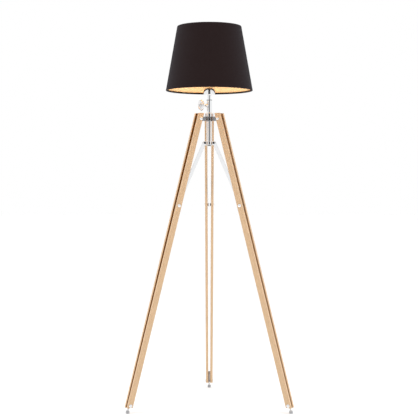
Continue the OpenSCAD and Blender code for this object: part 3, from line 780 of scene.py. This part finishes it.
rim_centre = KNOB_R - RIM_R
web_end = rim_centre - 0.0030
edge_r, edge_height = HUB_R - HUB_EDGE, HUB_HALF - HUB_EDGE
fillet_r, fillet_height = HUB_R + HUB_FILLET, WEB_HALF + HUB_FILLET
wheel = turned("hand_wheel", [(HUB_BORE_R, -HUB_HALF), (edge_r, -HUB_HALF)]
               + corner(edge_r, -edge_height, HUB_EDGE, -90, 0)
               + corner(fillet_r, -fillet_height, HUB_FILLET, 180, 90, 4) + [(web_end, -WEB_HALF)]
               + corner(rim_centre, 0, RIM_R, -155, 155, 28) + [(web_end, WEB_HALF)]
               + corner(fillet_r, fillet_height, HUB_FILLET, -90, -180, 4)
               + corner(edge_r, edge_height, HUB_EDGE, 0, 90)
               + [(RECESS_R, HUB_HALF), (RECESS_R, RECESS_FLOOR), (HUB_BORE_R, RECESS_FLOOR),
                  (HUB_BORE_R, -HUB_HALF)], 128, 40)
settle(wheel, clamp_space() @ Matrix.Translation((0, 0, KNOB_REACH)))
satin_chrome = plated_metal("satin_chrome", (0.82, 0.82, 0.83), 0.34, 0.44)
stand_for(wheel, "knob", "chrome", satin_chrome, "clamp_knob")

screw_tip = POLE_R + 0.0001
thread_end = KNOB_REACH - 0.006
screw_end = KNOB_REACH - 0.0001
screw = turned("threaded_screw", [(0, screw_tip), (SCREW_TIP_R, screw_tip)]
               + thread_outline(SCREW_R, SCREW_ROOT_R, screw_tip + 0.0008, thread_end, SCREW_PITCH)
               + [(SCREW_R, thread_end + 0.0005), (SCREW_R, screw_end), (0, screw_end)], 32, 50)
settle(screw, clamp_space())
stand_for(screw, "knob", "chrome", chrome, "clamp_screw")

hub_cap = turned("hub_cap", rod_outline(HUB_CAP_R, RECESS_FLOOR, HUB_HALF, 0.0004), 64)
settle(hub_cap, clamp_space() @ Matrix.Translation((0, 0, KNOB_REACH)))
grey_plastic = moulded("grey_plastic", (0.42, 0.42, 0.43), 0.34, 0.48)
stand_for(hub_cap, "knob", "dark_nylon", grey_plastic, "knob_centre")

# ---------------------------------------------------------------- pole and its bush
# A chromed steel pole slides in the outer tube on a nylon bush at its foot. A brass insert
# and a hollow nipple at its top carry the lampholder.

POLE_WALL = 0.001
pole_low, pole_high = ends("inner_pole")
brass = plated_metal("brass", (0.80, 0.60, 0.28), 0.16, 0.30)
pole = turned("sliding_pole", ring_outline(POLE_R - POLE_WALL, POLE_R, pole_low, pole_high, 0.0002), 128)
stand_for(pole, "pole", "chrome", chrome, "inner_pole")
repaint("pole_foot_bush", dark_nylon)
for node in ("pole_insert", "holder_nipple", "holder_locknut"):
    repaint(node, brass)

# ---------------------------------------------------------------- lampholder cup
# A spun and chromed cup with a rounded base, which widens a little upwards and hides the
# lampholder.

CUP_TAPER = math.tan(math.radians(3))
cup_low, cup_high = ends("holder_cup")
CUP_R = 0.0225
CUP_WALL = 0.0012
CUP_HOLE_R = 0.00505
CUP_EDGE = 0.002
CUP_INNER_EDGE = 0.0023
CUP_RIM = 0.0006
cup_top_r = CUP_R + (cup_high - cup_low) * CUP_TAPER
inner_edge = CUP_WALL + CUP_INNER_EDGE
cup = turned("spun_cup", [(CUP_HOLE_R, cup_low), (CUP_R - CUP_EDGE, cup_low)]
             + corner(CUP_R - CUP_EDGE, cup_low + CUP_EDGE, CUP_EDGE, -90, -3, 10)
             + corner(cup_top_r - CUP_RIM, cup_high - CUP_RIM, CUP_RIM, -3, 180, 8)
             + [(CUP_R - CUP_WALL, cup_low + inner_edge)]
             + corner(CUP_R - inner_edge, cup_low + inner_edge, CUP_INNER_EDGE, 0, -90, 6)
             + [(CUP_HOLE_R, cup_low + CUP_WALL), (CUP_HOLE_R, cup_low)], 144, 40)
stand_for(cup, "pole", "chrome", chrome, "holder_cup")

# ---------------------------------------------------------------- lampholder
# A black moulded lampholder with a ribbed skirt, a flange and a threaded barrel. A fluted ring
# nut on the barrel holds the shade, and a ceramic seat inside carries the contact.

BASE_R = 0.0155
BASE_HEIGHT = 0.016
SKIRT_R = 0.0195
SKIRT_ROOT_R = 0.0189
LIP_R = 0.0230
LIP_EDGE = 0.0008
BARREL_R = 0.0180
BARREL_ROOT_R = 0.0172
RIB_PITCH = 0.003
SOCKET_R = 0.0136
SOCKET_FLOOR = 0.041
WELL_R = 0.0116
HOLDER_HOLE_R = 0.005
HOLDER_FLOOR = 0.002
NUT_STEPS = 144
FLUTE_SCALE = 0.965
black_plastic = moulded("black_plastic", (0.022, 0.022, 0.023), 0.22, 0.34)
ceramic = moulded("ceramic", (0.70, 0.68, 0.62), 0.12, 0.22)
holder_low, holder_high = ends("lampholder")
lip_low = holder_low + 0.048
lip_high = lip_low + 0.003
skirt_low = holder_low + BASE_HEIGHT + 0.001
skirt = thread_outline(SKIRT_R, SKIRT_ROOT_R, skirt_low, lip_low - 0.003, RIB_PITCH)
barrel = thread_outline(BARREL_R, BARREL_ROOT_R, lip_high + 0.0005, holder_high - 0.0015, RIB_PITCH)
holder = turned("moulded_lampholder", [(HOLDER_HOLE_R, holder_low), (BASE_R, holder_low)]
                + [(SKIRT_R, holder_low + BASE_HEIGHT)] + skirt
                + [(SKIRT_R, lip_low - 0.001), (SKIRT_R, lip_low)]
                + corner(LIP_R - LIP_EDGE, lip_low + LIP_EDGE, LIP_EDGE, -90, 0)
                + corner(LIP_R - LIP_EDGE, lip_high - LIP_EDGE, LIP_EDGE, 0, 90)
                + [(BARREL_R, lip_high)] + barrel
                + [(BARREL_ROOT_R, holder_high - 0.0006), (BARREL_ROOT_R - 0.0006, holder_high),
                   (SOCKET_R + 0.0006, holder_high), (SOCKET_R, holder_high - 0.0006),
                   (SOCKET_R, holder_low + SOCKET_FLOOR), (WELL_R, holder_low + SOCKET_FLOOR),
                   (WELL_R, holder_low + HOLDER_FLOOR), (HOLDER_HOLE_R, holder_low + HOLDER_FLOOR),
                   (HOLDER_HOLE_R, holder_low)], 96, 50)
stand_for(holder, "pole", "black_plastic", black_plastic, "lampholder")
repaint("lampholder_contact", ceramic)

nut_low, nut_high = ends("shade_ring_nut")
ring_nut = turned("fluted_ring_nut", ring_outline(BARREL_R, LIP_R, nut_low, nut_high, 0.0008), NUT_STEPS)


def in_flute(spot):
    """Whether a point of the ring nut's rim lies in one of its flutes."""
    step = round(math.atan2(spot.y, spot.x) / math.tau * NUT_STEPS) % 4
    return spot.xy.length > 0.0221 and step in (0, 1)


pick_points(ring_nut, in_flute)
bpy.ops.transform.resize(value=(FLUTE_SCALE, FLUTE_SCALE, 1), center_override=(0, 0, 0))
bpy.ops.object.mode_set(mode="OBJECT")
smooth(ring_nut, 25)
stand_for(ring_nut, "pole", "black_plastic", black_plastic, "shade_ring_nut")

# ---------------------------------------------------------------- bulb
# An opal glass bulb that narrows into its neck, cemented in a rolled aluminium screw cap.

BULB_R = 0.030
CAP_CREST_R = 0.013
CAP_ROOT_R = 0.0119
CAP_INNER_R = 0.0118
CAP_PITCH = 0.0036
CAP_FLOOR = 0.005
cap_bottom, cap_top = ends("bulb_cap")
bulb_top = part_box("bulb_glass")[1].z


def opal_glass():
    """Opal glass that glows warm when lit, with faint clouds in it."""
    material, shader, add, join = finish("opal_glass")
    clouds = mottle(add, stretched(add, (1, 1, 1)), 60.0, 2.0)
    join(spread(add, clouds, 0.18, 0.26), "Roughness")
    join(between(add, clouds, (0.90, 0.88, 0.83), (0.95, 0.93, 0.88)), "Base Color")
    shader.inputs["Emission Color"].default_value = (1.0, 0.72, 0.40, 1)
    shader.inputs["Emission Strength"].default_value = 14.0
    return material


aluminium = plated_metal("aluminium", (0.78, 0.78, 0.79), 0.22, 0.34)
cap_thread = thread_outline(CAP_CREST_R, CAP_ROOT_R, cap_bottom + 0.0035, cap_top - 0.0035, CAP_PITCH)
screw_cap = turned("rolled_cap", [(0, cap_bottom), (0.004, cap_bottom), (0.0105, cap_bottom + 0.003)]
                   + cap_thread
                   + [(0.0125, cap_top - 0.002), (0.0129, cap_top), (0.0122, cap_top),
                      (CAP_INNER_R, cap_top - 0.002), (CAP_INNER_R, cap_bottom + CAP_FLOOR),
                      (0, cap_bottom + CAP_FLOOR)], 96, 60)
stand_for(screw_cap, "pole", "aluminium", aluminium, "bulb_cap")
globe_mid = bulb_top - BULB_R
bulb = turned("opal_bulb", [(0, cap_top - 0.004), (0.0120, cap_top - 0.004), (0.0121, cap_top + 0.004),
                            (0.0129, cap_top + 0.010), (0.0152, cap_top + 0.018), (0.0192, cap_top + 0.027)]
              + corner(0, globe_mid, BULB_R, -36, 90, 24), 96, 60)
stand_for(bulb, "pole", "opal_glass", opal_glass(), "bulb_glass")

# ---------------------------------------------------------------- shade frame
# White enamelled steel wire: two rings, and three arms from a steel ring that the lampholder's
# nut clamps. The arms are welded to the lower wire ring.

WIRE_R = 0.0016
SHADE_NARROWING = 0.046
TOP_RING_R = 0.1260
CARRIER_BORE_R = 0.01805
CARRIER_R = 0.0250
CARRIER_THICK = 0.002
ARM_START_R = 0.0242
ARM_ANGLES = (90, 210, 330)
white_enamel = moulded("white_enamel", (0.80, 0.79, 0.76), 0.20, 0.32, 500.0, 0.00002)
shade_low, shade_high = ends("shade_skin")
shade_low_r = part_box("shade_skin")[1].x
shade_top_r = shade_low_r - SHADE_NARROWING
shade_slope = math.atan((shade_low_r - shade_top_r) / (shade_high - shade_low))
low_ring = (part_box("shade_wires")[1].x - WIRE_R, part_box("shade_wires")[0].z + WIRE_R)
top_ring = (TOP_RING_R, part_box("shade_wires")[1].z - WIRE_R)


def wire_ring(name, place):
    """A round wire bent into a ring and welded shut."""
    section = corner(place[0], place[1], WIRE_R, 0, 360, 16)
    return turned(name, section, 192, 60)


rings = joined("wire_rings", [wire_ring("low_wire", low_ring), wire_ring("top_wire", top_ring)])
stand_for(rings, "pole", "white_enamel", white_enamel, "shade_wires")

carrier_low = nut_low - CARRIER_THICK
clamp_ring = ring_outline(CARRIER_BORE_R, CARRIER_R, carrier_low, nut_low, 0.0003)
parts = [turned("clamp_ring", clamp_ring, 96)]
arm_start = Vector((ARM_START_R, 0, carrier_low + CARRIER_THICK / 2))
arm_end = Vector((low_ring[0] - 0.0004, 0, low_ring[1]))
arm_line = arm_end - arm_start
for angle in ARM_ANGLES:
    arm = turned("arm", rod_outline(WIRE_R, 0, arm_line.length, 0.0005), 24)
    settle(arm, round_column(angle) @ Matrix.Translation(arm_start)
           @ arm_line.to_track_quat("Z", "Y").to_matrix().to_4x4())
    weld = turned("weld", corner(0, 0, 0.0020, -90, 90, 10), 24)
    settle(weld, round_column(angle) @ Matrix.Translation((low_ring[0] - 0.0010, 0, low_ring[1]))
           @ Matrix.Diagonal((0.8, 1.3, 0.9, 1)))
    foot = turned("arm_foot", corner(0, 0, 0.0021, -90, 90, 10), 24)
    settle(foot, round_column(angle) @ Matrix.Translation(arm_start) @ Matrix.Diagonal((1.4, 0.9, 0.75, 1)))
    parts += [arm, weld, foot]
carrier = joined("wire_carrier", parts)
stand_for(carrier, "pole", "white_enamel", white_enamel, "shade_carrier")

# ---------------------------------------------------------------- shade lining
# A stiff plastic laminate with a satin gold face, rolled into a cone inside the cloth and
# glued to it.

LINING_ENDS = 0.0008
LINING_THICK = 0.0008


def gold_laminate():
    """Satin gold laminate, with fine brushing round the shade and slight unevenness."""
    material, _, add, join = finish("gold_laminate")
    clouds = mottle(add, stretched(add, (1, 1, 1)), 42.0, 4.0)
    brushing = mottle(add, stretched(add, (60, 60, 2400)), 1.0, 2.0)
    join(between(add, clouds, (0.80, 0.580, 0.330), (0.87, 0.660, 0.405)), "Base Color")
    join(spread(add, brushing, 0.36, 0.52), "Roughness")
    relief(add, join, brushing, 0.06, 0.0002)
    return material


def shade_radius(height, depth):
    """The radius of the shade's wall at a height, and this far in from its outer face."""
    return shade_low_r - depth - (height - shade_low) * math.tan(shade_slope)


lining_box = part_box("shade_lining")
lining_outer = shade_low_r - lining_box[1].x
lining_inner = lining_outer + LINING_THICK
lower, upper = shade_low + LINING_ENDS, shade_high - LINING_ENDS
lining = turned("gold_lining", [
    (shade_radius(lower, lining_outer), lower), (shade_radius(upper, lining_outer), upper),
    (shade_radius(upper, lining_inner), upper), (shade_radius(lower, lining_inner), lower),
    (shade_radius(lower, lining_outer), lower)], 192, 30)
stand_for(lining, "pole", "gold_lining", gold_laminate(), "shade_lining")

# ---------------------------------------------------------------- shade cloth
# One piece of plain woven black cotton, glued over the lining and turned in over both wire
# rings. Its ends overlap in a narrow seam down the back.

CLOTH_THICK = 0.0007
TURN_R = 0.00145
TURN_IN = 0.0047
TURN_START = 0.0020
BAND_GAP = 0.00003
WALL_STEPS = 16
SEAM_SCALE = 1.0026
SEAM_HALF = 0.006
WARP_THREADS = 1500
WEFT_PITCH = 0.00064


def black_cotton():
    """Plain weave black cotton: crossed threads with slubs, and a soft sheen. A faint warm
    glow of its own stands for the bulb's light that comes through."""
    material, shader, add, join = finish("black_cotton")

    def maths(operation, first, second=0.0, third=0.0):
        made = add("ShaderNodeMath", {0: first, 1: second, 2: third}, operation=operation)
        return made.outputs["Value"]

    place = add("ShaderNodeTexCoord").outputs["Object"]
    parts = add("ShaderNodeSeparateXYZ", {"Vector": place}).outputs
    ahead = maths("MULTIPLY", parts["Y"], -1.0)
    angle = maths("ARCTAN2", parts["X"], ahead)
    slubs = mottle(add, stretched(add, (420, 420, 14)), 1.0, 2.0)
    weft_slubs = mottle(add, stretched(add, (16, 16, 620)), 1.0, 2.0)
    fluff = mottle(add, stretched(add, (1, 1, 1)), 1900.0, 2.0)
    warp_place = maths("MULTIPLY_ADD", slubs, 1.6, maths("MULTIPLY", angle, WARP_THREADS / 2))
    weft_count = maths("MULTIPLY", parts["Z"], math.pi / WEFT_PITCH)
    weft_place = maths("MULTIPLY_ADD", weft_slubs, 1.6, weft_count)
    warp = maths("SINE", warp_place)
    weft = maths("SINE", weft_place)
    crossing = maths("MULTIPLY", warp, weft)
    height = maths("MULTIPLY_ADD", crossing, 0.5, maths("MULTIPLY", fluff, 0.45))
    relief(add, join, height, 0.55, 0.00016)
    uneven = maths("ADD", maths("MULTIPLY", slubs, 0.5), maths("MULTIPLY", weft_slubs, 0.5))
    thread = maths("MULTIPLY_ADD", crossing, 0.22, uneven)
    join(between(add, thread, (0.0014, 0.0010, 0.0012), (0.0072, 0.0056, 0.0064)), "Base Color")
    join(spread(add, fluff, 0.78, 0.95), "Roughness")
    shader.inputs["Sheen Weight"].default_value = 0.05
    shader.inputs["Sheen Roughness"].default_value = 0.62
    shader.inputs["Sheen Tint"].default_value = (0.70, 0.84, 1.0, 1)
    shader.inputs["Specular IOR Level"].default_value = 0.12
    shader.inputs["Emission Color"].default_value = (1.0, 0.32, 0.20, 1)
    shader.inputs["Emission Strength"].default_value = 0.012
    return material


def middle_radius(height):
    """The radius of the cloth's middle layer at a height."""
    return shade_radius(height, 0.5 * CLOTH_THICK / math.cos(shade_slope))


slope_degrees = math.degrees(shade_slope)
low_turn = shade_low + 0.5 * CLOTH_THICK + TURN_R
top_turn = shade_high - 0.5 * CLOTH_THICK - TURN_R
low_band_r = low_ring[0] - WIRE_R - 0.5 * CLOTH_THICK - BAND_GAP
top_band_r = top_ring[0] - WIRE_R - 0.5 * CLOTH_THICK - BAND_GAP
set_in = TURN_R / math.cos(shade_slope)
wall_low, wall_high = low_turn + TURN_START, top_turn - TURN_START
wall = [wall_low + (wall_high - wall_low) * i / WALL_STEPS for i in range(WALL_STEPS + 1)]
cloth = turned("black_cloth", [(low_band_r, low_turn + TURN_IN), (low_band_r, low_turn + TURN_START)]
               + corner(low_band_r + TURN_R, low_turn, TURN_R, 180, 270, 5)
               + corner(middle_radius(low_turn) - set_in, low_turn, TURN_R, -90, slope_degrees, 5)
               + [(middle_radius(height), height) for height in wall]
               + corner(middle_radius(top_turn) - set_in, top_turn, TURN_R, slope_degrees, 90, 5)
               + corner(top_band_r + TURN_R, top_turn, TURN_R, 90, 180, 5)
               + [(top_band_r, top_turn - TURN_START), (top_band_r, top_turn - TURN_IN)], 288, 50)


def in_seam(spot):
    """Whether a point of the cloth lies on the outside, in the seam's overlap."""
    outside = spot.xy.length > middle_radius(spot.z) - 0.0004
    return outside and spot.y > 0 and abs(spot.x) < SEAM_HALF


pick_points(cloth, in_seam)
bpy.ops.transform.resize(value=(SEAM_SCALE, SEAM_SCALE, 1), center_override=(0, 0, 0))
bpy.ops.object.mode_set(mode="OBJECT")
bpy.ops.object.modifier_add(type="SOLIDIFY")
cloth.modifiers[-1].thickness = CLOTH_THICK
cloth.modifiers[-1].offset = 0
bpy.ops.object.modifier_apply(modifier=cloth.modifiers[-1].name)
smooth(cloth, 50)
stand_for(cloth, "pole", "black_fabric", black_cotton(), "shade_skin", "shade_edge_rolls")

# ---------------------------------------------------------------- studio
# A pale floor under a white surround, with a soft overhead light and a tall soft light at each
# side. A dark gap in the surround, which only reflections show, draws a line down the polished metal.

EYE = Vector((-0.0012, -4.355, 0.880))
LOOK_DOWN = math.radians(1.19)
LENS = 93.0
SIDE_LIGHT_WIDTH = 1.1
SIDE_LIGHT_HEIGHT = 2.4


def pale_floor():
    """A wide pale floor, out of sight at its edges."""
    material, shader, add, join = finish("pale_floor")
    clouds = mottle(add, stretched(add, (1, 1, 1)), 3.0, 2.0)
    join(between(add, clouds, (0.965, 0.965, 0.965), (0.985, 0.985, 0.985)), "Base Color")
    shader.inputs["Roughness"].default_value = 0.9
    shader.inputs["Specular IOR Level"].default_value = 0.0
    pick_up()
    bpy.ops.mesh.primitive_plane_add(size=60)
    floor = bpy.context.object
    floor.name = "floor"
    coat(floor, material)


def soft_light(name, place, target, width, height, watts):
    """A rectangular soft light that faces a point, and doesn't show in polished metal."""
    light = bpy.data.lights.new(name, "AREA")
    light.shape = "RECTANGLE"
    light.size = width
    light.size_y = height
    light.energy = watts
    lamp = bpy.data.objects.new(name, light)
    bpy.context.scene.collection.objects.link(lamp)
    lamp.location = place
    lamp.rotation_euler = (Vector(target) - Vector(place)).to_track_quat("-Z", "Y").to_euler()
    lamp.visible_glossy = False


def overhead_light(strength, spread_degrees):
    """A very wide soft light from straight above, that lights the whole floor evenly."""
    light = bpy.data.lights.new("overhead_light", "SUN")
    light.energy = strength
    light.angle = math.radians(spread_degrees)
    lamp = bpy.data.objects.new("overhead_light", light)
    bpy.context.scene.collection.objects.link(lamp)
    lamp.visible_glossy = False


def surround(fill, dark):
    """A white room to the eye, with a weak fill, and a dark gap in its front for reflections."""
    world = bpy.data.worlds.new("surround")
    bpy.context.scene.world = world
    world.use_nodes = True
    nodes_of, links = world.node_tree.nodes, world.node_tree.links
    background = nodes_of["Background"]
    background.inputs["Color"].default_value = (1, 1, 1, 1)
    ray = nodes_of.new("ShaderNodeLightPath").outputs
    parts = nodes_of.new("ShaderNodeSeparateXYZ")
    links.new(nodes_of.new("ShaderNodeTexCoord").outputs["Generated"], parts.inputs["Vector"])
    gap = nodes_of.new("ShaderNodeMapRange")
    gap.interpolation_type = "SMOOTHSTEP"
    for key, value in (("From Min", -0.899), ("From Max", -0.970), ("To Min", 1.0), ("To Max", dark)):
        gap.inputs[key].default_value = value
    links.new(parts.outputs["Y"], gap.inputs["Value"])
    glossy = nodes_of.new("ShaderNodeMix")
    glossy.inputs[2].default_value = 1.0
    links.new(ray["Is Glossy Ray"], glossy.inputs[0])
    links.new(gap.outputs["Result"], glossy.inputs[3])
    level = nodes_of.new("ShaderNodeMix")
    level.inputs[3].default_value = fill
    links.new(ray["Is Diffuse Ray"], level.inputs[0])
    links.new(glossy.outputs[0], level.inputs[2])
    links.new(level.outputs[0], background.inputs["Strength"])


pale_floor()
surround(0.30, 0.03)
overhead_light(2.3, 110)
soft_light("left_light", (-2.8, -1.0, 1.3), (0, 0, 0.8), SIDE_LIGHT_WIDTH, SIDE_LIGHT_HEIGHT, 34)
soft_light("right_light", (2.8, -1.0, 1.3), (0, 0, 0.8), SIDE_LIGHT_WIDTH, SIDE_LIGHT_HEIGHT, 36)

view = bpy.data.cameras.new("view")
view.lens = LENS
camera = bpy.data.objects.new("view", view)
bpy.context.scene.collection.objects.link(camera)
camera.location = EYE
camera.rotation_euler = (math.pi / 2 - LOOK_DOWN, 0, 0)
bpy.context.scene.camera = camera
bpy.context.scene.view_settings.view_transform = "Standard"
